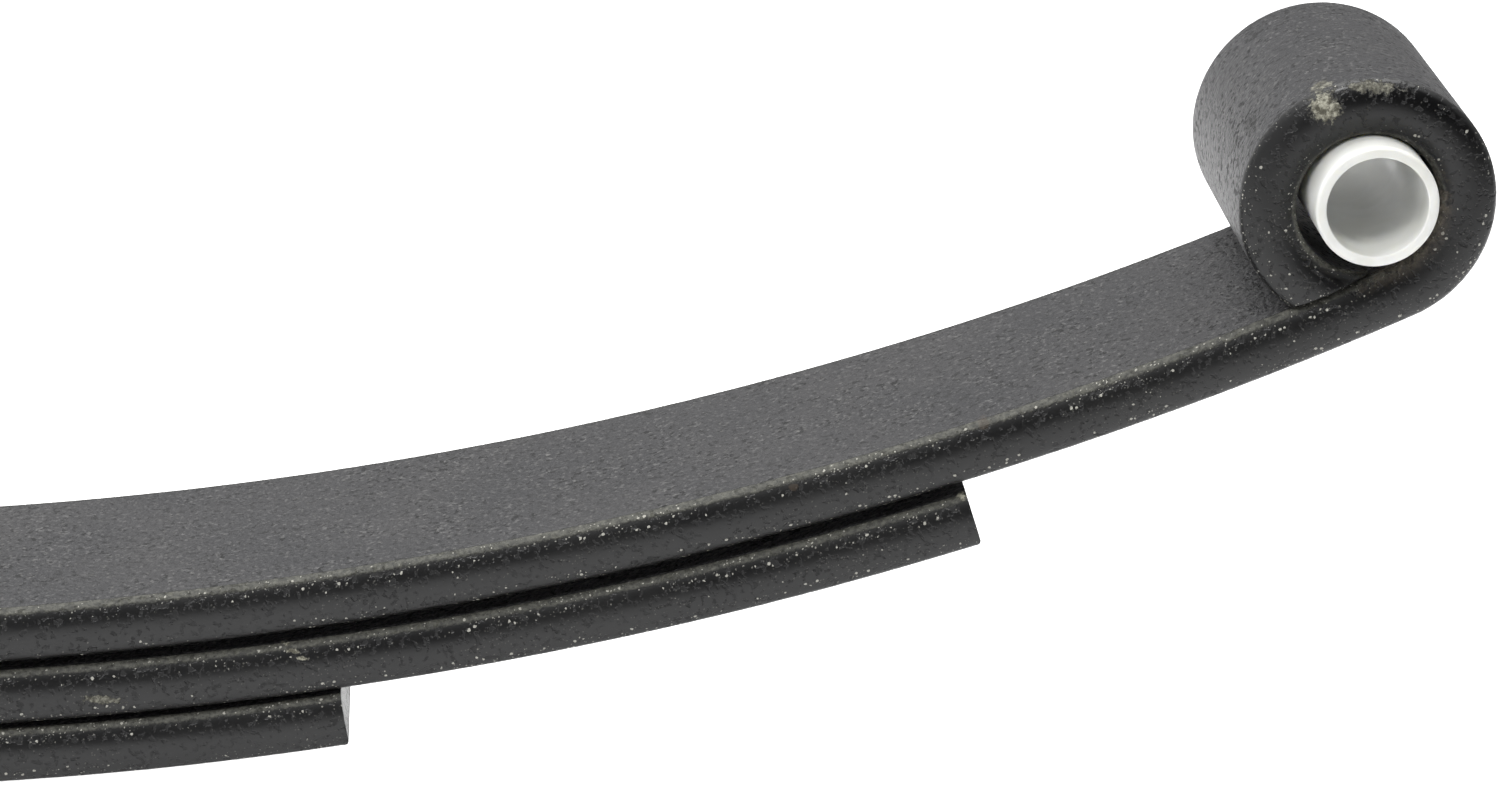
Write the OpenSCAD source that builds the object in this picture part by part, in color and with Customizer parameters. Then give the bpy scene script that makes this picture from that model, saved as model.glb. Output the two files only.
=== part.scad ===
// Double-eye leaf spring: four cambered leaves, a centre bolt with its nut,
// and a nylon bushing in each rolled eye.
// X runs along the spring, Y across its width and Z up. The origin is on the
// centre bolt's axis, at the underside of the shortest leaf, where it sits on an axle.

/* [Leaves] */
// Distance between the centres of the two eyes
eye_spacing = 641.4; // [520:0.1:780]
// Width of every leaf
leaf_w = 44.45; // [36:0.05:56]
// Thickness of every leaf
leaf_t = 8.2; // [6:0.1:10]
// How far the rounded side of a leaf bulges past its flat faces
side_bulge = 1.4; // [0.6:0.1:2]
// Camber radius of the main leaf's upper face
main_camber = 568; // [470:1:700]
// Length of the flat seat in the middle of the main leaf
seat_len = 76.2; // [60:0.1:95]
// How much longer the flat seat of each next leaf is
seat_step = 20; // [16:0.5:26]
// Straight length of the second leaf, between the upper corners of its ends
second_len = 540; // [450:1:620]
// Straight length of the third leaf, between the upper corners of its ends
third_len = 368; // [300:1:430]
// Straight length of the fourth leaf, between the upper corners of its ends
fourth_len = 198; // [165:1:240]
// How much tighter the second leaf is rolled than the face that it lies under
second_nip = 26; // [20:0.5:32]
// How much tighter the third leaf is rolled than the face that it lies under
third_nip = 58; // [46:0.5:60]
// How much tighter the fourth leaf is rolled than the face that it lies under
fourth_nip = 50; // [40:0.5:60]
// Radius left by the shear on the lower corner of a cut end
shear_r = 1.2; // [0.6:0.1:2]

/* [Eyes] */
// Bore of a rolled eye
eye_bore = 20.32; // [19:0.01:26]
// Opening between the end of a rolled eye and the leaf that it closes on
eye_gap = 0.62; // [0.5:0.01:0.8]
// How much rolling swells the leaf in its eyes, on every side
eye_swell = 0.03; // [0.03:0.01:0.1]

/* [Bushings] */
// Bore of a bushing, for a 9/16 inch shackle bolt
bushing_bore = 14.4; // [12:0.05:15]
// Outer diameter of a bushing
bushing_od = 17.5; // [16.2:0.05:18.4]
// Length of a bushing
bushing_len = 44.45; // [36:0.05:56]
// Rounding of a bushing's outer edges
bushing_edge = 0.6; // [0.2:0.05:0.7]
// Clearance where a bushing lies against the wall of its eye
bushing_fit = 0.06; // [0.03:0.01:0.1]
// How far the right bushing stands out of the front of its eye
right_out = 4.3; // [0:0.1:8]

/* [Centre bolt] */
// Shank diameter of the centre bolt
bolt_d = 9.525; // [7.9:0.005:12]
// Diameter of the round head that locates in an axle's spring seat
head_d = 14.29; // [13:0.01:18]
// Height of the round head
head_h = 6.35; // [5:0.05:9]
// Width of the nut across its flats
nut_af = 14.29; // [13.9:0.01:19]
// Height of the nut
nut_h = 8.33; // [6.5:0.01:11]
// Length of bolt left above the nut
bolt_end = 4.5; // [2:0.1:8]
// Chamfer on the bolt's head and on its threaded end
bolt_edge = 0.8; // [0.4:0.05:1]
// Clearance between the bolt and the hole through each leaf
hole_clear = 0.4; // [0.2:0.05:0.6]
// Clearance between the bolt and the nut's thread
thread_clear = 0.05; // [0.02:0.01:0.1]
// Paint film between pieces that are clamped together
film = 0.05; // [0.02:0.01:0.1]

/* [Hidden] */
$fn = 96;
leaf_count = 4;
paint = [0.13, 0.13, 0.135];
zinc = [0.62, 0.63, 0.62];
nylon = [0.9, 0.91, 0.88];
pitch = leaf_t + film;
stack_h = leaf_count * pitch - film;
side_r = (leaf_t * leaf_t / 4 + side_bulge * side_bulge) / (2 * side_bulge);
eye_r = eye_bore / 2;
eye_outer = eye_r + leaf_t + 2 * eye_swell;
// Camber radius of each leaf's upper face, from the main leaf down
second_camber = main_camber + leaf_t - second_nip;
third_camber = second_camber + leaf_t - third_nip;
fourth_camber = third_camber + leaf_t - fourth_nip;
// Slope of the main leaf where its eye starts, and the eye's centre
eye_lever = main_camber - eye_r - eye_swell;
eye_slope = asin((eye_spacing - seat_len) / 2 / eye_lever);
eye_x = eye_spacing / 2;
eye_z = stack_h + main_camber - eye_lever * cos(eye_slope);
// A bushing is smaller than its eye and lies against the top of the bore
bushing_rise = eye_r - bushing_od / 2 - bushing_fit;
hole_d = bolt_d + hole_clear;
// Turn that an eye is rolled through before its end is cut to length
wrap_turn = 345;
// Turn by which the swelling starts before the eye does, round the end of the camber
eye_lap = 2;
// Share of the shear's radius that the rolled-over corner reaches along each face
shear_reach = 0.95;
over = 1;

// Height of the underside of leaf number i, counted from the main leaf down
function underside(i) = (leaf_count - i) * pitch;
// Half length of the flat seat of leaf number i
function seat_half(i) = (seat_len + (i - 1) * seat_step) / 2;

// Cross section of a leaf, swollen on every side by s: flat faces and rounded sides,
// the upper face at radius r
module section(r, s = 0) {
    intersection() {
        translate([r, -leaf_w / 2 - s]) square([leaf_t + 2 * s, leaf_w + 2 * s]);
        union() {
            translate([r, side_bulge - leaf_w / 2])
                square([leaf_t + 2 * s, leaf_w - 2 * side_bulge]);
            for (side = [-1, 1])
                translate([r + s + leaf_t / 2, side * (leaf_w / 2 - side_r)]) circle(side_r + s);
        }
    }
}

// Part of a leaf rolled about the Y axis, from straight down round to the right
module rolled(r, turn, s = 0) {
    rotate([90, 0, 0]) rotate([0, 0, -90]) rotate_extrude(angle = turn, $fn = 360) section(r, s);
}

// The flat seat in the middle of leaf i
module seat(i) {
    translate([-seat_half(i), 0, underside(i) + leaf_t]) rotate([0, 90, 0])
        linear_extrude(2 * seat_half(i)) section(0);
}

// The cambered stretch of leaf i on the right, up to a slope
module camber(i, r, slope) {
    translate([seat_half(i), 0, underside(i) + leaf_t + r]) rolled(r, slope);
}

// Hole through the stack for the centre bolt
module bolt_hole() {
    translate([0, 0, -over]) cylinder(d = hole_d, h = stack_h + 2 * over);
}

// One rolled eye: wrapped up and over, its end cut to lie along the leaf
module eye() {
    translate([eye_x, 0, eye_z]) rotate([0, -eye_slope, 0]) difference() {
        rotate([0, eye_lap, 0]) rolled(eye_r, eye_lap + wrap_turn, eye_swell);
        translate([-2 * eye_outer, -leaf_w, -2 * eye_outer])
            cube([2 * eye_outer - eye_r / 8, 2 * leaf_w, 2 * eye_outer - eye_r - eye_swell + eye_gap]);
    }
}

module main_leaf() {
    color(paint) difference() {
        union() {
            seat(1);
            for (side = [0, 1]) mirror([side, 0, 0]) {
                camber(1, main_camber, eye_slope);
                eye();
            }
        }
        bolt_hole();
    }
}

// Sheared end of a leaf on the right: what the shear takes off the lower corner
module sheared_corner(i, r, slope) {
    bite = shear_reach * shear_r;
    translate([seat_half(i), 0, underside(i) + leaf_t + r]) rotate([0, -slope, 0])
        translate([0, leaf_w / 2 + over, -r - leaf_t]) rotate([90, 0, 0])
            linear_extrude(leaf_w + 2 * over) difference() {
                translate([-bite, -over]) square([bite + over, bite + over]);
                translate([-bite, bite]) circle(shear_r);
            }
}

// A plain leaf, number i, with square-cut ends
module plain_leaf(i, r, length) {
    slope = asin((length / 2 - seat_half(i)) / r);
    color(paint) difference() {
        union() {
            seat(i);
            for (side = [0, 1]) mirror([side, 0, 0]) camber(i, r, slope);
        }
        for (side = [0, 1]) mirror([side, 0, 0]) sheared_corner(i, r, slope);
        bolt_hole();
    }
}

module second_leaf() {
    plain_leaf(2, second_camber, second_len);
}

module third_leaf() {
    plain_leaf(3, third_camber, third_len);
}

module fourth_leaf() {
    plain_leaf(4, fourth_camber, fourth_len);
}

// Round-headed bolt that goes up through the stack, its head seated on the shortest leaf
module center_bolt() {
    top = stack_h + film + nut_h + bolt_end;
    color(zinc) rotate_extrude() polygon([
        [0, -head_h], [head_d / 2 - bolt_edge, -head_h], [head_d / 2, bolt_edge - head_h],
        [head_d / 2, 0], [bolt_d / 2, 0], [bolt_d / 2, top - bolt_edge],
        [bolt_d / 2 - bolt_edge, top], [0, top]
    ]);
}

// Hexagon nut on top of the main leaf, with both faces chamfered
module center_nut() {
    corner = nut_af / 2 / cos(30);
    fall = (corner - nut_af / 2) * tan(30);
    color(zinc) translate([0, 0, stack_h + film]) difference() {
        intersection() {
            cylinder(r = corner, h = nut_h, $fn = 6);
            rotate_extrude() polygon([
                [0, 0], [nut_af / 2, 0], [corner + over, fall + over * tan(30)],
                [corner + over, nut_h - fall - over * tan(30)], [nut_af / 2, nut_h], [0, nut_h]
            ]);
        }
        translate([0, 0, -over]) cylinder(r = bolt_d / 2 + thread_clear, h = nut_h + 2 * over);
    }
}

// Plain nylon tube with rounded outer edges, centred on the origin along Y
module bushing() {
    wall = (bushing_od - bushing_bore) / 2;
    color(nylon) rotate([90, 0, 0]) rotate_extrude() translate([bushing_bore / 2, 0]) union() {
        translate([0, bushing_edge - bushing_len / 2]) square([wall, bushing_len - 2 * bushing_edge]);
        translate([0, -bushing_len / 2]) square([wall - bushing_edge, bushing_len]);
        for (s = [-1, 1])
            translate([wall - bushing_edge, s * (bushing_len / 2 - bushing_edge)]) circle(bushing_edge);
    }
}

module right_bushing() {
    translate([eye_x, (bushing_len - leaf_w) / 2 - right_out, eye_z + bushing_rise]) bushing();
}

module left_bushing() {
    translate([-eye_x, 0, eye_z + bushing_rise]) bushing();
}

main_leaf();
second_leaf();
third_leaf();
fourth_leaf();
center_bolt();
center_nut();
right_bushing();
left_bushing();
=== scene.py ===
import math

import bmesh
import bpy
import numpy as np
from mathutils import Matrix, Vector


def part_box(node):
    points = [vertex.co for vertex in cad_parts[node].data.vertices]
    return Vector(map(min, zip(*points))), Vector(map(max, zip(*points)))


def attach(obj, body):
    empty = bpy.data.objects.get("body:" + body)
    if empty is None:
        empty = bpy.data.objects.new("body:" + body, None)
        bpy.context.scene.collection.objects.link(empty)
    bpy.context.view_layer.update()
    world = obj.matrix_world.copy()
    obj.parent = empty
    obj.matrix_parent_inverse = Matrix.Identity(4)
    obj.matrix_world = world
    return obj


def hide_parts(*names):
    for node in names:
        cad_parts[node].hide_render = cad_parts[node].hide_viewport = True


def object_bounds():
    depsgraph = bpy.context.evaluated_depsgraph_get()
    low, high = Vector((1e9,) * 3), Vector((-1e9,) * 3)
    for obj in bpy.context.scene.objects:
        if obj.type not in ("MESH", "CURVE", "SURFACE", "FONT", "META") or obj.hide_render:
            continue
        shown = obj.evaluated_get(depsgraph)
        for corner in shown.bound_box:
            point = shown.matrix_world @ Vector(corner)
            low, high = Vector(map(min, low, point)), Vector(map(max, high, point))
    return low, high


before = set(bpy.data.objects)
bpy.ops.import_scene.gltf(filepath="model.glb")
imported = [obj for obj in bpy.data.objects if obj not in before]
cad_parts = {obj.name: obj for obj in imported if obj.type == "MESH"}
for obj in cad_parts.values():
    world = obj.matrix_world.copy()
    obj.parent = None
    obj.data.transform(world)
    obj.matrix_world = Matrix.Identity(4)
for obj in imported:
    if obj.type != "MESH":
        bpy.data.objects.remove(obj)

cad_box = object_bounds()


# ---------------------------------------------------------------- Main leaf
# The longest leaf is hot-rolled spring steel bar with rounded sides. It is bent to a
# camber on both sides of a flat seat, rolled up and over into an eye at each end,
# and painted satin black with the other leaves.
#
# Sizes are in metres. The sides swell outwards on one arc between two corner arcs.
bar_width = 0.04445
bar_thick = 0.0082
side_bulge = 0.0014
corner_round = 0.0014
side_radius = (bar_thick ** 2 / 4 + side_bulge ** 2) / (2 * side_bulge)
side_middle = bar_width / 2 - side_radius
corner_reach = side_radius - corner_round
corner_rise = bar_thick / 2 - corner_round
corner_y = side_middle + math.sqrt(corner_reach ** 2 - corner_rise ** 2)
corner_depth = bar_thick / 2 - side_radius * corner_rise / corner_reach

# A film of air lies between pieces that touch. The seat's half length and the camber's radius
# are along the bar's upper face, and eye_gap is left where the eye's end nearly closes.
film = 0.00005
seat_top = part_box("center_nut")[0].z - film
seat_half = 0.0381
main_camber = 0.568
eye_spacing = 0.6414
eye_radius = 0.01016
eye_gap = 0.00062
eye_slope = math.asin((eye_spacing / 2 - seat_half) / (main_camber - eye_radius))
main_step = 0.0008
hole_radius = 0.00496


def half_width(depth):
    """Half the bar's width at a depth below its upper face."""
    near = min(depth, bar_thick - depth)
    if near < corner_depth:
        return corner_y + math.sqrt(max(0.0, corner_round ** 2 - (corner_round - near) ** 2))
    return side_middle + math.sqrt(side_radius ** 2 - (bar_thick / 2 - near) ** 2)


def side_depths():
    """Depths of the points down a rounded side, closer together round its corners."""
    corner = [corner_depth * (1 - math.cos(math.pi / 2 * i / 6)) for i in range(1, 7)]
    middle = list(np.linspace(corner_depth, bar_thick / 2, 7)[1:])
    upper = corner + middle
    return upper + [bar_thick - d for d in reversed(upper[:-1])]


def bar_loop(flat_steps=14):
    """The bar's outline as (side of the bar, depth, y on a flat) going once round it."""
    flats = np.linspace(-corner_y, corner_y, flat_steps + 1)
    down = side_depths()
    loop = [("top", 0.0, y) for y in flats]
    loop += [("back", d, 0.0) for d in down]
    loop += [("bottom", bar_thick, -y) for y in flats]
    loop += [("front", d, 0.0) for d in reversed(down)]
    return loop


def side_lengths(depths):
    """Distance down the side from the upper corner, for each depth."""
    points = [(corner_y, 0.0)] + [(half_width(d), d) for d in depths] + [(corner_y, bar_thick)]
    steps = [math.dist(points[i], points[i + 1]) for i in range(len(points) - 1)]
    return np.cumsum(steps)


def band_faces(rows, around, closed=False):
    """Faces between rows of points that each go once round, and back to the first if closed."""
    faces = []
    for row in range(rows if closed else rows - 1):
        after = (row + 1) % rows
        for i in range(around):
            j = (i + 1) % around
            faces.append((row * around + i, row * around + j, after * around + j, after * around + i))
    return faces


def solid_mesh(name, points, faces, marks=None, merge=None):
    """A mesh with its faces turned outward. marks holds the values that its points carry."""
    mesh = bpy.data.meshes.new(name)
    mesh.from_pydata(points, [], faces)
    for key, values in (marks or {}).items():
        mesh.attributes.new(key, "FLOAT", "POINT").data.foreach_set("value", values)
    work = bmesh.new()
    work.from_mesh(mesh)
    if merge:
        bmesh.ops.remove_doubles(work, verts=work.verts, dist=merge)
    bmesh.ops.recalc_face_normals(work, faces=work.faces)
    work.to_mesh(mesh)
    work.free()
    return mesh


def close_end(first, count, points, marks, faces):
    """Close a bar's end with rows of faces across it, from the first point of its last loop."""
    side = len(side_depths())
    steps = (count - 2 * side) // 2 - 1
    rows = [[first + i for i in range(steps + 1)]]
    for n in range(side):
        back = first + steps + 1 + n
        front = first + count - 1 - n
        row = [front]
        for i in range(1, steps):
            share = i / steps
            points.append(tuple(np.array(points[front]) * (1 - share) + np.array(points[back]) * share))
            marks["top_edge"].append(marks["top_edge"][front])
            marks["low_edge"].append(marks["low_edge"][front])
            marks["cut"].append(1.0)
            row.append(len(points) - 1)
        rows.append(row + [back])
        marks["cut"][front] = 0.5
        marks["cut"][back] = 0.5
    lowest = first + steps + 1 + side
    rows.append([lowest + steps - i for i in range(steps + 1)])
    for upper, lower in zip(rows[:-1], rows[1:]):
        for i in range(steps):
            faces.append((upper[i], upper[i + 1], lower[i + 1], lower[i]))


def bar_mesh(name, stations):
    """Sweep the bar's outline through stations of (x, z, turn, depth left, distance along).

    Each point carries its distance in mm from the upper and lower corners, and whether it is
    on a sheared end.
    """
    loop = bar_loop()
    depths = side_depths()
    lengths = side_lengths(depths)
    whole = lengths[-1]
    from_top = dict(zip(np.round(depths, 9), lengths))
    points = []
    marks = {"top_edge": [], "low_edge": [], "cut": []}
    for x, z, turn, left, _ in stations:
        low_y = half_width(left) / corner_y if left < bar_thick else 1.0
        for part, depth, flat_y in loop:
            d = depth * left / bar_thick
            if part == "top":
                y = flat_y
                edge, low = abs(flat_y) - corner_y, whole
            elif part == "bottom":
                y = flat_y * low_y
                edge, low = whole, abs(flat_y) - corner_y
            else:
                y = half_width(d) * (1 if part == "back" else -1)
                edge = from_top[round(depth, 9)]
                low = whole - edge
            points.append((x + math.sin(turn) * d, y, z - math.cos(turn) * d))
            marks["top_edge"].append(edge * 1000)
            marks["low_edge"].append(low * 1000)
            marks["cut"].append(0.0)
    faces = band_faces(len(stations), len(loop))
    for k in (0, len(stations) - 1):
        if stations[k][3] >= bar_thick / 2:
            close_end(k * len(loop), len(loop), points, marks, faces)
    return solid_mesh(name, points, faces, marks, merge=1e-6)


def both_halves(right):
    """Stations from the left end to the right one, given the right half from the middle out."""
    left = [(-x, z, -turn, depth, -along) for x, z, turn, depth, along in reversed(right[1:])]
    return left + right


def camber_stations(half, top, radius, slope, step):
    """Stations along a flat seat and up the camber that follows it, as far as the slope."""
    out = [(x, top, 0.0, bar_thick, x) for x in np.linspace(0, half, max(2, round(half / 0.002)))]
    for turn in np.linspace(0, slope, round(radius * slope / step))[1:]:
        x = half + radius * math.sin(turn)
        out.append((x, top + radius * (1 - math.cos(turn)), turn, bar_thick, half + radius * turn))
    return out


def eye_stations(begin, step=math.radians(1.5)):
    """Stations once round an eye, thinned where its end is cut to lie along the leaf."""
    cut_line = eye_radius - eye_gap
    x0, z0, turn0, _, along0 = begin
    middle_x = x0 - eye_radius * math.sin(turn0)
    middle_z = z0 + eye_radius * math.cos(turn0)
    last = 2 * math.pi - math.acos(cut_line / eye_radius)
    out = []
    for wrap in np.linspace(0, last, round(last / step))[1:]:
        left = bar_thick
        if wrap > 1.5 * math.pi:
            left = min(bar_thick, max(0.0, cut_line / math.cos(wrap) - eye_radius))
        turn = turn0 + wrap
        x = middle_x + eye_radius * math.sin(turn)
        z = middle_z - eye_radius * math.cos(turn)
        out.append((x, z, turn, left, along0 + (eye_radius + bar_thick / 2) * wrap))
    return out


class Wiring:
    """Short ways to add and join the nodes of one material, node group or sky."""

    def __init__(self, tree):
        self.tree = tree

    def add(self, kind, **settings):
        node = self.tree.nodes.new(kind)
        for key, value in settings.items():
            setattr(node, key, value)
        return node

    def wire(self, value, socket):
        """Join a node's output to a socket, or set the socket to a plain value."""
        if isinstance(value, bpy.types.NodeSocket):
            self.tree.links.new(value, socket)
        else:
            socket.default_value = value

    def math(self, operation, *values):
        node = self.add("ShaderNodeMath", operation=operation)
        for i, value in enumerate(values):
            self.wire(value, node.inputs[i])
        return node.outputs[0]

    def times(self, first, second):
        return self.math("MULTIPLY", first, second)

    def ramp(self, value, low, high, bottom=0.0, top=1.0, smooth=True):
        """Go from bottom to top as the value goes from low to high."""
        node = self.add("ShaderNodeMapRange")
        node.interpolation_type = "SMOOTHSTEP" if smooth else "LINEAR"
        for socket, item in zip(node.inputs, (value, low, high, bottom, top)):
            self.wire(item, socket)
        return node.outputs[0]

    def mix(self, share, first, second):
        """Mix two colours by a share of the second."""
        node = self.add("ShaderNodeMix", data_type="RGBA")
        for index, item in ((0, share), (6, first), (7, second)):
            self.wire(item, node.inputs[index])
        return node.outputs[2]

    def vector(self, operation, *values):
        node = self.add("ShaderNodeVectorMath", operation=operation)
        for i, value in enumerate(values):
            self.wire(value, node.inputs[i])
        return node.outputs["Value"] if operation == "LENGTH" else node.outputs[0]

    def noise(self, vector, scale, detail=3.0, rough=0.55, distortion=0.0):
        node = self.add("ShaderNodeTexNoise")
        for key, item in (("Vector", vector), ("Scale", scale), ("Detail", detail),
                          ("Roughness", rough), ("Distortion", distortion)):
            self.wire(item, node.inputs[key])
        return node.outputs[0]

    def attribute(self, name):
        """A value that the piece's points carry."""
        return self.add("ShaderNodeAttribute", attribute_name=name).outputs["Fac"]

    def place(self):
        """Where a point is on the whole spring."""
        return self.add("ShaderNodeTexCoord").outputs["Object"]

    def effect(self, group, **values):
        """Place one of the shared effect groups, with its own values."""
        node = self.add("ShaderNodeGroup", node_tree=group)
        for key, value in values.items():
            self.wire(value, node.inputs[key])
        return node.outputs

    def bump(self, height, strength, distance, socket):
        """Turn a height into relief on a normal socket."""
        node = self.add("ShaderNodeBump")
        node.inputs["Strength"].default_value = strength
        node.inputs["Distance"].default_value = distance
        self.wire(height, node.inputs["Height"])
        self.wire(node.outputs[0], socket)


def new_group(name, kind, inputs, outputs):
    """An empty node group with named inputs and outputs, each input with its usual value."""
    tree = bpy.data.node_groups.new(name, kind)
    for label, value_kind, value in inputs:
        socket = tree.interface.new_socket(label, in_out="INPUT", socket_type="NodeSocket" + value_kind)
        if value is not None:
            socket.default_value = value
    for label, value_kind in outputs:
        tree.interface.new_socket(label, in_out="OUTPUT", socket_type="NodeSocket" + value_kind)
    wiring = Wiring(tree)
    return wiring, wiring.add("NodeGroupInput").outputs, wiring.add("NodeGroupOutput").inputs


def rolled_surface_tree():
    """Geometry nodes that sink a bar's sides and corners a little, as rolling and knocks do."""
    nodes, given, made = new_group(
        "rolled bar surface", "GeometryNodeTree",
        [("Geometry", "Geometry", None), ("Wave depth", "Float", 0.00008), ("Wave scale", "Float", 45.0),
         ("Knock depth", "Float", 0.0001), ("Knock scale", "Float", 620.0), ("Seed", "Float", 3.0),
         ("Material", "Material", None)],
        [("Geometry", "Geometry")])
    edges = []
    for key in ("top_edge", "low_edge"):
        read = nodes.add("GeometryNodeInputNamedAttribute", data_type="FLOAT")
        nodes.wire(key, read.inputs["Name"])
        edges.append(read.outputs["Attribute"])
    near = nodes.math("MINIMUM", *edges)
    on_side = nodes.ramp(near, 0.2, 2.2, smooth=False)
    on_corner = nodes.ramp(nodes.math("ABSOLUTE", nodes.math("SUBTRACT", near, 0.8)), 1.2, 0.0)
    place = nodes.add("GeometryNodeInputPosition").outputs[0]
    sunk = []
    for mask, kind, detail in ((on_side, "Wave", 2.0), (on_corner, "Knock", 3.0)):
        noise = nodes.add("ShaderNodeTexNoise", noise_dimensions="4D")
        nodes.wire(place, noise.inputs["Vector"])
        nodes.wire(given["Seed"], noise.inputs["W"])
        nodes.wire(given[kind + " scale"], noise.inputs["Scale"])
        nodes.wire(detail, noise.inputs["Detail"])
        sunk.append(nodes.times(nodes.times(noise.outputs[0], mask), given[kind + " depth"]))
    inward = nodes.times(nodes.math("ADD", *sunk), -1.0)
    offset = nodes.add("ShaderNodeVectorMath", operation="SCALE")
    nodes.wire(nodes.add("GeometryNodeInputNormal").outputs[0], offset.inputs[0])
    nodes.wire(inward, offset.inputs["Scale"])
    move = nodes.add("GeometryNodeSetPosition")
    nodes.wire(given["Geometry"], move.inputs["Geometry"])
    nodes.wire(offset.outputs[0], move.inputs["Offset"])
    real = nodes.add("GeometryNodeRealizeInstances")
    nodes.wire(move.outputs[0], real.inputs[0])
    finish = nodes.add("GeometryNodeSetMaterial")
    nodes.wire(real.outputs[0], finish.inputs["Geometry"])
    nodes.wire(given["Material"], finish.inputs["Material"])
    nodes.wire(finish.outputs[0], made["Geometry"])
    return nodes.tree


def put_in_scene(name, data):
    """A mesh, lamp or camera as an object in the scene."""
    thing = bpy.data.objects.new(name, data)
    bpy.context.scene.collection.objects.link(thing)
    return thing


def applied(piece):
    """Turn a piece's modifiers into plain mesh."""
    bpy.context.view_layer.update()
    seen = piece.evaluated_get(bpy.context.evaluated_depsgraph_get())
    mesh = bpy.data.meshes.new_from_object(seen)
    piece.modifiers.clear()
    piece.data = mesh


def run_tree(piece, tree, values):
    """Run a geometry node tree on a piece with its named inputs, and keep the result."""
    modifier = piece.modifiers.new("build", "NODES")
    modifier.node_group = tree
    for socket in tree.interface.items_tree:
        if socket.item_type == "SOCKET" and socket.in_out == "INPUT" and socket.name in values:
            modifier[socket.identifier] = values[socket.name]
    applied(piece)


def bolt_hole_cutter(radius):
    """A long round plug where the centre bolt passes through the leaves."""
    mesh = bpy.data.meshes.new("bolt_hole")
    work = bmesh.new()
    bmesh.ops.create_cone(work, cap_ends=True, segments=64, radius1=radius, radius2=radius, depth=0.08)
    work.to_mesh(mesh)
    work.free()
    return put_in_scene("bolt_hole", mesh)


def drilled(piece, plug):
    """Drill the bolt hole through a leaf."""
    drill = piece.modifiers.new("drill", "BOOLEAN")
    drill.operation = "DIFFERENCE"
    drill.object = plug
    drill.solver = "MANIFOLD"
    applied(piece)


def finished(piece, material, sharp_above):
    """Give a piece its material, shaded smooth except at corners sharper than an angle."""
    mesh = piece.data
    mesh.materials.clear()
    mesh.materials.append(material)
    mesh.polygons.foreach_set("use_smooth", [True] * len(mesh.polygons))
    mesh.set_sharp_from_angle(angle=math.radians(sharp_above))


def orange_peel_group():
    """Leathery skin of thick paint: rounded cells, drawn out a little, with fine grain between."""
    shader, given, made = new_group(
        "orange peel", "ShaderNodeTree",
        [("Vector", "Vector", None), ("Scale", "Float", 1100.0)],
        [("Height", "Float")])
    warp = shader.noise(given["Vector"], 420.0, 2.0)
    shifted = shader.vector("MULTIPLY_ADD", warp, (0.0012, 0.0012, 0.0012), given["Vector"])
    cells = shader.add("ShaderNodeTexVoronoi", feature="SMOOTH_F1")
    shader.wire(shifted, cells.inputs["Vector"])
    shader.wire(given["Scale"], cells.inputs["Scale"])
    shader.wire(0.7, cells.inputs["Smoothness"])
    swell = shader.times(shader.noise(given["Vector"], 260.0, 2.0), 0.5)
    grain = shader.times(shader.noise(shifted, shader.times(given["Scale"], 1.9), 2.0), 0.55)
    height = shader.math("ADD", shader.times(cells.outputs["Distance"], -0.75), grain)
    shader.wire(shader.math("ADD", height, swell), made["Height"])
    return shader.tree


def dust_group():
    """Scattered specks of dust and grit: small dots of mixed size, thicker in some places."""
    shader, given, made = new_group(
        "dust specks", "ShaderNodeTree",
        [("Vector", "Vector", None), ("Scale", "Float", 420.0), ("Amount", "Float", 0.3)],
        [("Mask", "Float")])
    warp = shader.noise(given["Vector"], 2600.0, 2.0)
    shift = shader.vector("MULTIPLY", warp, (0.0004, 0.0004, 0.0004))
    cells = shader.add("ShaderNodeTexVoronoi", feature="F1")
    shader.wire(shader.vector("ADD", given["Vector"], shift), cells.inputs["Vector"])
    shader.wire(given["Scale"], cells.inputs["Scale"])
    pick = shader.add("ShaderNodeSeparateColor")
    shader.wire(cells.outputs["Color"], pick.inputs[0])
    size = shader.ramp(pick.outputs[0], 0.2, 1.0, 0.05, 0.26)
    dot = shader.ramp(cells.outputs["Distance"], shader.math("ADD", size, 0.08), size)
    drift = shader.noise(given["Vector"], 75.0, 3.0)
    chance = shader.times(given["Amount"], shader.ramp(drift, 0.35, 0.65, 0.2, 1.8))
    kept = shader.math("LESS_THAN", pick.outputs[1], chance)
    shader.wire(shader.times(dot, kept), made["Mask"])
    return shader.tree


def corner_wear_and_highlight_group():
    """Where paint is rubbed thin along a corner: an uneven band, which on the upper corners is also a
    painted highlight, and the dark crack above it.
    """
    shader, given, made = new_group(
        "corner wear and highlight", "ShaderNodeTree",
        [("Vector", "Vector", None), ("Distance", "Float", 0.0), ("Width", "Float", 1.25),
         ("Ragged", "Float", 0.5)],
        [("Band", "Float"), ("Line", "Float")])
    coarse = shader.math("SUBTRACT", shader.noise(given["Vector"], 210.0, 3.0, 0.6), 0.5)
    grain = shader.math("SUBTRACT", shader.noise(given["Vector"], 1500.0, 3.0, 0.7), 0.5)
    upper = shader.math("ADD", given["Distance"], shader.times(coarse, shader.times(given["Ragged"], 0.7)))
    lower = shader.math("ADD", upper, shader.times(grain, shader.times(given["Ragged"], 1.6)))
    start = shader.ramp(upper, -0.12, 0.02)
    end = shader.ramp(lower, shader.math("ADD", given["Width"], 0.25),
                      shader.math("SUBTRACT", given["Width"], 0.3))
    shader.wire(shader.times(start, end), made["Band"])
    away = shader.math("ABSOLUTE", shader.math("ADD", upper, 0.16))
    broken = shader.ramp(shader.noise(given["Vector"], 700.0, 2.0), 0.38, 0.55, 0.25, 1.0)
    shader.wire(shader.times(shader.ramp(away, 0.24, 0.08), broken), made["Line"])
    return shader.tree


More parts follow.
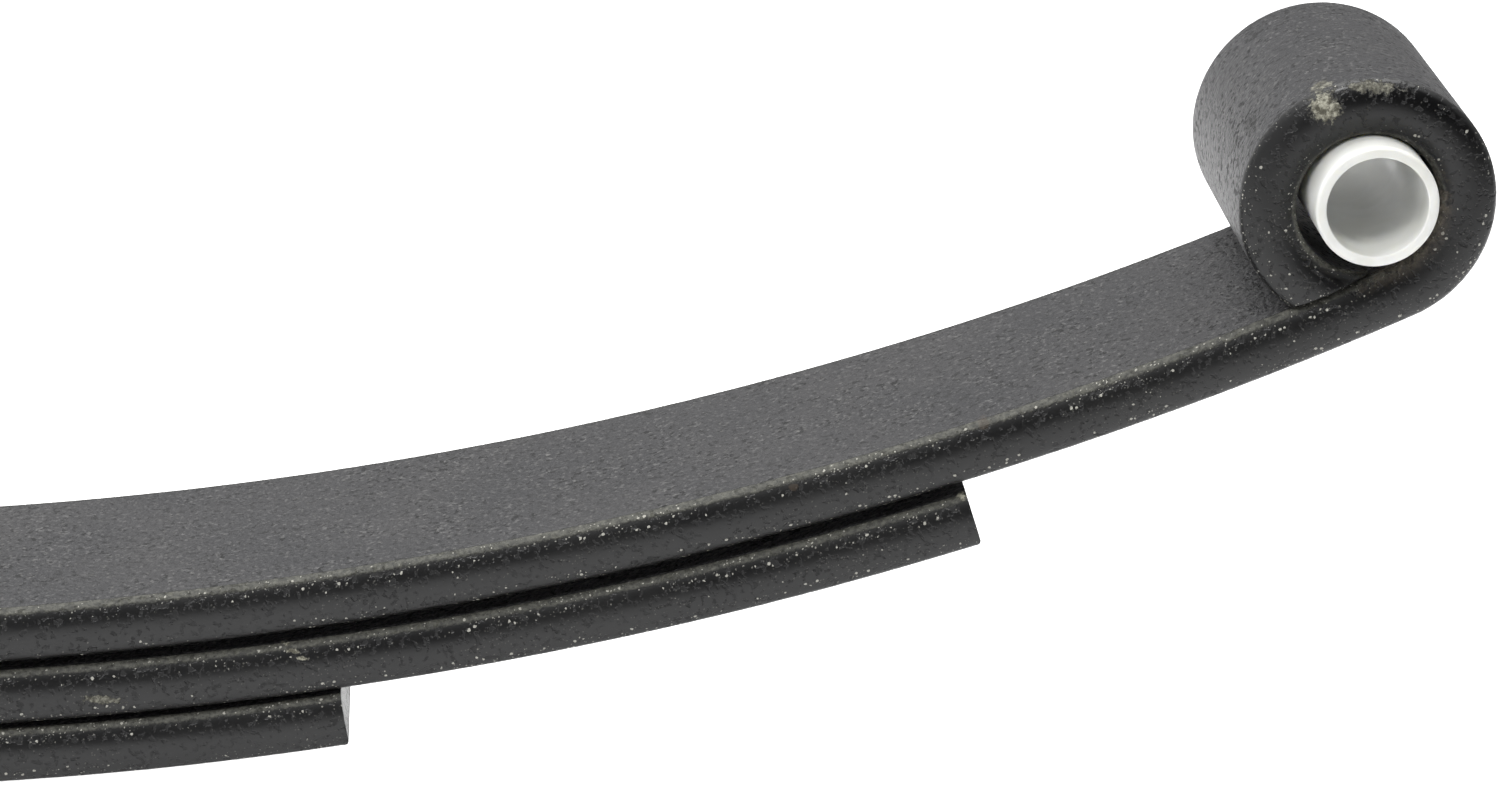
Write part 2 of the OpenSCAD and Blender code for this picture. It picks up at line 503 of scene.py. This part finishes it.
def blot_group():
    """One worn or dirty patch with a given middle and half sizes, and a ragged edge."""
    shader, given, made = new_group(
        "blot", "ShaderNodeTree",
        [("Vector", "Vector", None), ("Middle", "Vector", None), ("Size", "Vector", None),
         ("Ragged", "Float", 0.8), ("Grain", "Float", 900.0)],
        [("Mask", "Float")])
    away = shader.vector("SUBTRACT", given["Vector"], given["Middle"])
    share = shader.vector("LENGTH", shader.vector("DIVIDE", away, given["Size"]))
    grain = shader.math("SUBTRACT", shader.noise(given["Vector"], given["Grain"], 4.0, 0.7), 0.5)
    rough = shader.times(grain, shader.times(given["Ragged"], 3.0))
    shader.wire(shader.ramp(shader.math("ADD", share, rough), 1.1, 0.75), made["Mask"])
    return shader.tree


orange_peel = orange_peel_group()
dust_specks = dust_group()
corner_wear_and_highlight = corner_wear_and_highlight_group()
blot = blot_group()


def new_material(name):
    """A material, its wiring and its surface, ready for colour."""
    material = bpy.data.materials.new(name)
    material.use_nodes = True
    return material, Wiring(material.node_tree), material.node_tree.nodes["Principled BSDF"].inputs


def blots(shader, place, marks, ragged, grain):
    """The strongest of several patches, each given as a middle and half sizes."""
    total = 0.0
    for middle, size in marks:
        mask = shader.effect(blot, Vector=place, Middle=middle, Size=size, Ragged=ragged, Grain=grain)
        total = shader.math("MAXIMUM", total, mask["Mask"])
    return total


def flat_paint(shader, place, cloud, pits):
    """Dark grey of the flats, clouded, with pale flecks and black pits."""
    patchy = shader.ramp(shader.noise(place, 120.0, 3.0), 0.35, 0.65, 0.5, 1.0)
    color = shader.mix(shader.ramp(cloud, 0.3, 0.75), (0.024, 0.024, 0.026, 1), (0.034, 0.033, 0.034, 1))
    flecks = shader.times(shader.ramp(shader.noise(place, 1400.0, 2.0), 0.55, 0.68), patchy)
    color = shader.mix(flecks, color, (0.095, 0.093, 0.092, 1))
    pits = shader.times(pits, patchy)
    return shader.mix(pits, color, (0.006, 0.006, 0.006, 1)), pits


def dust_on_leaf(shader, place, near, side):
    """Dust everywhere and grit on the sides, both thickest just past the rubbed corners."""
    specks = shader.effect(dust_specks, Vector=place, Scale=1250.0, Amount=0.24)["Mask"]
    grit = shader.effect(dust_specks, Vector=place, Scale=2300.0, Amount=0.45)["Mask"]
    speck_share = shader.times(specks, shader.ramp(near, -0.2, 0.8, 0.10, 0.8))
    grit_share = shader.times(shader.times(grit, side), shader.ramp(near, 3.2, 0.8, 0.10, 0.8))
    return shader.math("MAXIMUM", speck_share, grit_share)


def black_paint_material():
    """Satin black paint on spring steel: leathery on the flats, smooth and dusty on the sides, with
    painted shade on the sides and a painted highlight along the upper corners.
    """
    material, shader, surface = new_material("black_paint")
    place = shader.place()
    top = shader.attribute("top_edge")
    low = shader.attribute("low_edge")
    cut = shader.attribute("cut")
    near = shader.math("MINIMUM", top, low)
    side = shader.ramp(near, -0.1, 0.5)
    cloud = shader.noise(place, 38.0, 4.0, 0.6)
    tone = shader.noise(place, 1300.0, 4.0, 0.7)

    # Leathery paint on the flats, and smoother paint on the rounded sides, which are coloured near black
    # as painted shade.
    pits = shader.ramp(shader.noise(place, 1050.0, 2.0), 0.46, 0.35)
    flat_color, pits = flat_paint(shader, place, cloud, pits)
    side_painted_shade = shader.mix(shader.ramp(cloud, 0.35, 0.8), (0.0020, 0.0020, 0.0023, 1),
                            (0.0052, 0.0052, 0.0052, 1))
    color = shader.mix(side, flat_color, side_painted_shade)

    # Rubbed corners: a dusty olive band on the upper ones, and hardly any on the lower ones. The upper
    # band is rubbed paint and also a painted highlight, where those corners catch the light.
    upper = shader.effect(corner_wear_and_highlight, Vector=place, Distance=top, Width=1.5, Ragged=0.55)
    lower = shader.effect(corner_wear_and_highlight, Vector=place, Distance=low, Width=0.45, Ragged=1.4)
    band_and_highlight_color = shader.mix(shader.ramp(tone, 0.3, 0.72), (0.022, 0.022, 0.018, 1),
                            (0.105, 0.104, 0.086, 1))
    color = shader.mix(shader.times(upper["Band"], 0.9), color, band_and_highlight_color)
    color = shader.mix(shader.times(lower["Band"], 0.12), color, band_and_highlight_color)
    color = shader.mix(shader.times(upper["Line"], 0.85), color, (0.003, 0.003, 0.003, 1))
    dust = dust_on_leaf(shader, place, near, side)
    color = shader.mix(dust, color, (0.46, 0.45, 0.40, 1))

    # Chips on the right eye's rim, the second leaf's corner and the main leaf's, and three short
    # strokes of a scratch on the second leaf.
    chips = blots(shader, place, (((0.3121, -0.0216, 0.1336), (0.0022, 0.003, 0.0019)),
                                  ((0.2692, -0.0208, 0.0712), (0.0006, 0.002, 0.0007)),
                                  ((0.2955, -0.0215, 0.0955), (0.0009, 0.003, 0.0006)),
                                  ((0.1751, -0.0222, 0.0397), (0.0010, 0.003, 0.00035)),
                                  ((0.1766, -0.0222, 0.0389), (0.0010, 0.003, 0.00035)),
                                  ((0.1780, -0.0222, 0.0381), (0.0009, 0.003, 0.00030))), 0.7, 1500.0)
    # Two scrapes on the rim, and a rubbed place on the second leaf.
    scrapes = blots(shader, place, (((0.3182, -0.0215, 0.1372), (0.0042, 0.0012, 0.0009)),
                                    ((0.3110, -0.0190, 0.1363), (0.0022, 0.0025, 0.0012)),
                                    ((0.1502, -0.0222, 0.0292), (0.0028, 0.003, 0.0007))), 0.9, 1100.0)
    # Brown spots on the main leaf, grime on the bore's lip, and dark scuffs outside the eye.
    rust = blots(shader, place, (((0.2710, -0.0216, 0.0825), (0.0009, 0.003, 0.0007)),
                                 ((0.2450, -0.0216, 0.0705), (0.0007, 0.003, 0.0005))), 0.9, 700.0)
    grime = blots(shader, place, (((0.3290, -0.0216, 0.1140), (0.0085, 0.004, 0.0110)),), 0.9, 900.0)
    grime = shader.times(grime, shader.ramp(top, 3.4, 1.2))
    scuffs = blots(shader, place, (((0.3040, -0.0124, 0.1276), (0.0012, 0.0030, 0.0016)),
                                   ((0.3030, -0.0100, 0.1240), (0.0008, 0.0014, 0.0010))), 1.1, 1200.0)
    grime_color = shader.mix(shader.ramp(tone, 0.3, 0.7), (0.014, 0.011, 0.008, 1),
                             (0.085, 0.068, 0.048, 1))
    primer = shader.mix(shader.ramp(tone, 0.4, 0.7), (0.07, 0.065, 0.045, 1), (0.42, 0.41, 0.33, 1))
    for mask, share, shade in ((scuffs, 0.85, (0.008, 0.008, 0.008, 1)),
                               (rust, 0.55, (0.052, 0.038, 0.026, 1)),
                               (grime, 0.7, grime_color),
                               (scrapes, 0.55, primer),
                               (chips, 0.95, primer)):
        color = shader.mix(shader.times(mask, share), color, shade)

    # Bare steel where the shorter leaves are sheared.
    shear = shader.noise(place, 1400.0, 4.0, 0.7)
    bare = shader.mix(shader.ramp(shear, 0.3, 0.75), (0.04, 0.04, 0.038, 1), (0.13, 0.13, 0.124, 1))
    sheared = shader.ramp(shader.math("ADD", cut, shader.times(shear, 0.35)), 0.72, 0.95)
    shader.wire(shader.mix(sheared, color, bare), surface["Base Color"])

    # Gloss: the sides are smoothest, and worn, dusty and pitted places are dull.
    worn = shader.math("MAXIMUM", upper["Band"], shader.math("MAXIMUM", chips, scrapes))
    rough = shader.ramp(side, 0.0, 1.0, 0.44, 0.34, smooth=False)
    for more in (shader.times(worn, 0.28),
                 shader.times(shader.math("SUBTRACT", cloud, 0.5), 0.12),
                 shader.times(shader.math("MAXIMUM", dust, pits), 0.3)):
        rough = shader.math("ADD", rough, more)
    shader.wire(rough, surface["Roughness"])

    # Relief: the skin of the paint, worn and sheared steel, dust on top, cracks and pits.
    peel = shader.effect(orange_peel, Vector=place, Scale=1250.0)["Height"]
    height = shader.times(peel, shader.ramp(side, 0.0, 1.0, 1.0, 0.015, smooth=False))
    for more in (shader.times(shader.times(tone, worn), 0.8),
                 shader.times(upper["Line"], -0.7),
                 shader.times(shader.math("MAXIMUM", pits, scuffs), -0.4),
                 shader.times(dust, 0.15),
                 shader.times(shader.times(shear, cut), 0.8)):
        height = shader.math("ADD", height, more)
    shader.bump(height, 0.8, 0.00024, surface["Normal"])
    return material


black_paint = black_paint_material()
rolled_surface = rolled_surface_tree()
bolt_hole = bolt_hole_cutter(hole_radius)


def add_leaf(name, stations, seed):
    """Sweep, weather and drill one leaf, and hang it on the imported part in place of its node."""
    piece = put_in_scene(name + "_bar", bar_mesh(name, both_halves(stations)))
    run_tree(piece, rolled_surface, {"Seed": float(seed), "Material": black_paint})
    drilled(piece, bolt_hole)
    finished(piece, black_paint, 40)
    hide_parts(name)
    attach(piece, "spring")


main_stations = camber_stations(seat_half, seat_top, main_camber, eye_slope, main_step)
main_stations += eye_stations(main_stations[-1])
add_leaf("main_leaf", main_stations, 3)


# ---------------------------------------------------------------- Shorter leaves
# Three plain leaves of the same bar lie under the main leaf, each with a longer flat seat and
# a tighter camber than the one above. Their ends are sheared square and left bare.
short_leaves = ("second_leaf", "third_leaf", "fourth_leaf")
leaf_lengths = (0.540, 0.368, 0.198)
leaf_cambers = (0.5502, 0.5004, 0.4586)
seat_step = 0.010
shear_round = 0.0012
leaf_step = 0.0012


def sheared_end(stations, radius):
    """Add closer stations at the end of a leaf, where the shear has rolled its lower corner."""
    x, z, turn, _, along = stations[-1]
    middle = (x - radius * math.sin(turn), z + radius * math.cos(turn))
    kept = [s for s in stations if s[4] < along - shear_round]
    for share in np.linspace(0, 1, 9):
        back = shear_round * (1 - math.sin(share * math.pi / 2))
        here = turn - back / radius
        rise = math.sqrt(max(0.0, shear_round ** 2 - (shear_round - back) ** 2))
        left = min(bar_thick - shear_round + rise, bar_thick)
        kept.append((middle[0] + radius * math.sin(here), middle[1] - radius * math.cos(here),
                     here, left, along - back))
    return kept


for number, (name, length, radius) in enumerate(zip(short_leaves, leaf_lengths, leaf_cambers), start=1):
    half = seat_half + number * seat_step
    slope = math.asin((length / 2 - half) / radius)
    top = seat_top - number * (bar_thick + film)
    stations = camber_stations(half, top, radius, slope, leaf_step)
    add_leaf(name, sheared_end(stations, radius), number + 3)

bpy.data.objects.remove(bolt_hole)


# ---------------------------------------------------------------- Centre bolt and nut
# A zinc-plated bolt with a round head goes up through the leaves, and a hexagon nut on the
# main leaf clamps them. The head stands out below and locates the spring on its axle.
bolt_radius = 0.0047625
thread_pitch = 0.001058
thread_depth = 0.0005
thread_start = 0.0235
head_radius = 0.007145
head_edge = 0.0008
nut_flats = 0.01429
nut_chamfer = 0.0007
bolt_low, bolt_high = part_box("center_bolt")
nut_low, nut_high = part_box("center_nut")


def zinc_material():
    """Zinc plating: a pale grey metal with a faint cloudy stain and fine scratches."""
    material, shader, surface = new_material("zinc_plate")
    place = shader.place()
    cloud = shader.noise(place, 260.0, 4.0, 0.6)
    color = shader.mix(shader.ramp(cloud, 0.35, 0.7), (0.50, 0.51, 0.50, 1), (0.66, 0.66, 0.63, 1))
    specks = shader.effect(dust_specks, Vector=place, Scale=1300.0, Amount=0.2)["Mask"]
    color = shader.mix(shader.times(specks, 0.6), color, (0.12, 0.11, 0.10, 1))
    shader.wire(color, surface["Base Color"])
    surface["Metallic"].default_value = 0.9
    shader.wire(shader.ramp(cloud, 0.3, 0.8, 0.32, 0.48), surface["Roughness"])
    shader.bump(shader.noise(place, 3200.0, 3.0, 0.6), 0.4, 0.00006, surface["Normal"])
    return material


def turned_mesh(name, rows, radius_at, around, closed=False):
    """A body of rows round the Z axis. radius_at(row, height, angle) gives each point's radius."""
    points = []
    for index, z in enumerate(rows):
        for i in range(around):
            angle = 2 * math.pi * i / around
            radius = radius_at(index, z, angle)
            points.append((radius * math.cos(angle), radius * math.sin(angle), z))
    faces = band_faces(len(rows), around, closed)
    if not closed:
        faces.append(tuple(reversed(range(around))))
        faces.append(tuple((len(rows) - 1) * around + i for i in range(around)))
    return solid_mesh(name, points, faces)


def bolt_rows():
    """Heights and plain radii up the bolt: its rounded head, its shank, its thread, its end."""
    rows = [(bolt_low.z, head_radius - head_edge * 1.3), (bolt_low.z + 0.00006, head_radius - head_edge)]
    for i in range(1, 7):
        turn = i / 6 * math.pi / 2
        rows.append((bolt_low.z + head_edge - head_edge * math.cos(turn),
                     head_radius - head_edge + head_edge * math.sin(turn)))
    rows += [(bolt_low.z * 0.4, head_radius), (-0.0002, head_radius), (-0.00005, head_radius - 0.00012)]
    rows += [(z, bolt_radius) for z in (-0.00002, 0.004, 0.012, 0.022)]
    rows += [(z, bolt_radius) for z in np.arange(thread_start, bolt_high.z - 0.0009, thread_pitch / 10)]
    rows += [(bolt_high.z - 0.0008, bolt_radius), (bolt_high.z - 0.0003, bolt_radius - 0.0005)]
    rows += [(bolt_high.z, bolt_radius - 0.0008), (bolt_high.z, bolt_radius - 0.0016)]
    return rows


def bolt_wall(index, z, angle):
    """Radius of the bolt: plain, with the helical thread cut in above the shank."""
    plain = bolt_profile[index][1]
    if z < thread_start or z > bolt_high.z - 0.00085:
        return plain
    phase = (z / thread_pitch - angle / (2 * math.pi)) % 1.0
    groove = 1 - abs(2 * phase - 1)
    run_in = min(1.0, (z - thread_start) / 0.002)
    return plain - thread_depth * run_in * min(1.0, max(0.0, groove * 1.25 - 0.12))


def nut_wall(index, z, angle):
    """Radius of the nut: a hexagon with rounded corners inside two chamfer cones, and its bore."""
    if index >= nut_outer_rows:
        return bolt_radius + 0.00006
    sixth = math.pi / 3
    off = (angle + sixth / 2) % sixth - sixth / 2
    flat = nut_flats / 2 / math.cos(sixth / 2 - abs(off))
    corner = nut_flats / 2 / math.cos(sixth / 2)
    near = min(z - nut_low.z, nut_high.z - z)
    cone = nut_flats / 2 - 0.0001 + near / math.tan(math.radians(30))
    return min(flat, corner - 0.00015, cone)


zinc = zinc_material()
bolt_profile = bolt_rows()
bolt_mesh = turned_mesh("center_bolt", [z for z, _ in bolt_profile], bolt_wall, 72)
bolt = put_in_scene("center_bolt_turned", bolt_mesh)
finished(bolt, zinc, 35)
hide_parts("center_bolt")
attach(bolt, "spring")

chamfer_steps = [nut_chamfer * i / 10 for i in range(11)]
nut_rows = [nut_low.z + step for step in chamfer_steps]
nut_rows += list(np.linspace(nut_low.z + nut_chamfer, nut_high.z - nut_chamfer, 6)[1:-1])
nut_rows += [nut_high.z - step for step in reversed(chamfer_steps)]
nut_outer_rows = len(nut_rows)
nut_rows += [nut_high.z, nut_low.z]
nut = put_in_scene("center_nut_hex", turned_mesh("center_nut", nut_rows, nut_wall, 180, closed=True))
finished(nut, zinc, 25)
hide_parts("center_nut")
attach(nut, "spring")


# ---------------------------------------------------------------- Bushings
# A plain tube of white nylon is pushed into each eye for the shackle bolt to turn in. It is
# smaller than the eye, so it lies against the top of the bore.
bush_bore = 0.0072
bush_outer = 0.00875
bush_edge = 0.0006
bore_edge = 0.0002


def nylon_material():
    """Natural nylon: milky white, slightly see-through, with faint flow marks."""
    material, shader, surface = new_material("white_nylon")
    place = shader.place()
    cloud = shader.noise(place, 90.0, 3.0, 0.5, 1.2)
    color = shader.mix(shader.ramp(cloud, 0.35, 0.7), (0.69, 0.695, 0.665, 1), (0.78, 0.785, 0.77, 1))
    shader.wire(color, surface["Base Color"])
    shader.wire(shader.ramp(cloud, 0.3, 0.75, 0.30, 0.42), surface["Roughness"])
    surface["Subsurface Weight"].default_value = 0.55
    surface["Subsurface Radius"].default_value = (1.0, 0.95, 0.8)
    surface["Subsurface Scale"].default_value = 0.0018
    surface["IOR"].default_value = 1.53
    shader.bump(shader.noise(place, 340.0, 3.0, 0.5, 0.6), 0.25, 0.00012, surface["Normal"])
    return material


def quarter(steps):
    """Angles of a quarter turn, in even steps."""
    return [math.pi / 2 * i / steps for i in range(steps + 1)]


def bushing_profile(length):
    """Closed outline of the tube's wall as (radius, place along it), its corners rounded."""
    half = length / 2
    outer = [(bush_outer - bush_edge + bush_edge * math.sin(t), half - bush_edge + bush_edge * math.cos(t))
             for t in quarter(8)]
    inner = [(bush_bore + bore_edge * (1 - math.sin(t)), half - bore_edge * (1 - math.cos(t)))
             for t in quarter(5)]
    low_rim = [(radius, -y) for radius, y in list(reversed(inner)) + outer]
    high_rim = list(reversed(outer)) + inner
    outside = [(bush_outer, y) for y in np.linspace(-half + bush_edge, half - bush_edge, 30)[1:-1]]
    inside = [(bush_bore, y) for y in np.linspace(half - bore_edge, -half + bore_edge, 30)[1:-1]]
    return low_rim + outside + high_rim + inside


def bushing_mesh(node, around=128):
    """The tube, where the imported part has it."""
    low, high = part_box(node)
    middle = (low + high) / 2
    profile = bushing_profile(high.y - low.y)
    points = []
    for radius, y in profile:
        for i in range(around):
            angle = 2 * math.pi * i / around
            points.append((middle.x + radius * math.cos(angle), middle.y + y,
                           middle.z + radius * math.sin(angle)))
    return solid_mesh(node, points, band_faces(len(profile), around, closed=True), merge=1e-7)


nylon = nylon_material()
for node in ("right_bushing", "left_bushing"):
    tube = put_in_scene(node + "_tube", bushing_mesh(node))
    finished(tube, nylon, 50)
    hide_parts(node)
    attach(tube, node)


# ---------------------------------------------------------------- Floor, light and camera
# The spring stands on its bolt head over a plain pale floor, under wide soft lights, with
# the dark side of the studio in front of it.
floor_z = cad_box[0][2] - 0.0001
reach = 6.0
floor_mesh = bpy.data.meshes.new("floor")
floor_mesh.from_pydata([(-reach, -reach, floor_z), (reach, -reach, floor_z),
                        (reach, reach, floor_z), (-reach, reach, floor_z)], [], [(0, 1, 2, 3)])
floor = put_in_scene("floor", floor_mesh)
floor_paint, _, floor_surface = new_material("floor_paint")
floor_surface["Base Color"].default_value = (0.95, 0.95, 0.95, 1)
floor_surface["Roughness"].default_value = 0.9
floor_mesh.materials.append(floor_paint)


def soft_light(name, place, target, width, depth, power, spread):
    """A wide soft lamp that faces a target, with its beam held to a spread in degrees."""
    light = bpy.data.lights.new(name, "AREA")
    light.shape = "RECTANGLE"
    light.size = width
    light.size_y = depth
    light.energy = power
    light.spread = math.radians(spread)
    lamp = put_in_scene(name, light)
    lamp.location = place
    lamp.rotation_euler = (Vector(target) - Vector(place)).to_track_quat("-Z", "Y").to_euler()


soft_light("back_softbox", (0.15, 0.55, 1.1), (0.15, 0.4, 0.0), 2.0, 1.1, 6.2, 80)
soft_light("front_softbox", (-0.35, -1.0, 1.95), (0.2, 0.0, 0.05), 1.0, 0.6, 1.8, 40)

# White walls behind, overhead and on the left, fading to a dark front.
world = bpy.data.worlds.new("studio")
bpy.context.scene.world = world
world.use_nodes = True
sky = Wiring(world.node_tree)
axes = sky.add("ShaderNodeSeparateXYZ")
sky.wire(sky.add("ShaderNodeTexCoord").outputs["Generated"], axes.inputs[0])
behind = sky.ramp(axes.outputs["Y"], -0.5, -0.15, 0.01, 0.4)
overhead = sky.ramp(axes.outputs["Z"], 0.7, 0.94, 0.0, 0.9)
on_left = sky.ramp(axes.outputs["X"], -0.1, -0.4, 0.0, 0.75)
background = world.node_tree.nodes["Background"].inputs
sky.wire(sky.math("ADD", sky.math("ADD", behind, overhead), on_left), background["Strength"])
background["Color"].default_value = (1.0, 1.0, 1.0, 1.0)
bpy.context.scene.view_settings.view_transform = "Standard"

# The camera stands in front of the right half and looks at it a little from above.
camera_data = bpy.data.cameras.new("camera")
camera_data.sensor_width = 36.0
camera_data.lens = 109.9
camera_data.clip_start = 0.01
camera = put_in_scene("camera", camera_data)
camera.location = (0.1692, -0.6272, 0.2987)
forward = Vector((0.1052, 0.9373, -0.3321)).normalized()
up = Vector((0.9905, -0.0690, 0.1188)).normalized().cross(forward).normalized()
right = forward.cross(up)
turned = Matrix((right, up, -forward)).transposed().to_4x4()
camera.matrix_world = Matrix.Translation(camera.location) @ turned
bpy.context.scene.camera = camera
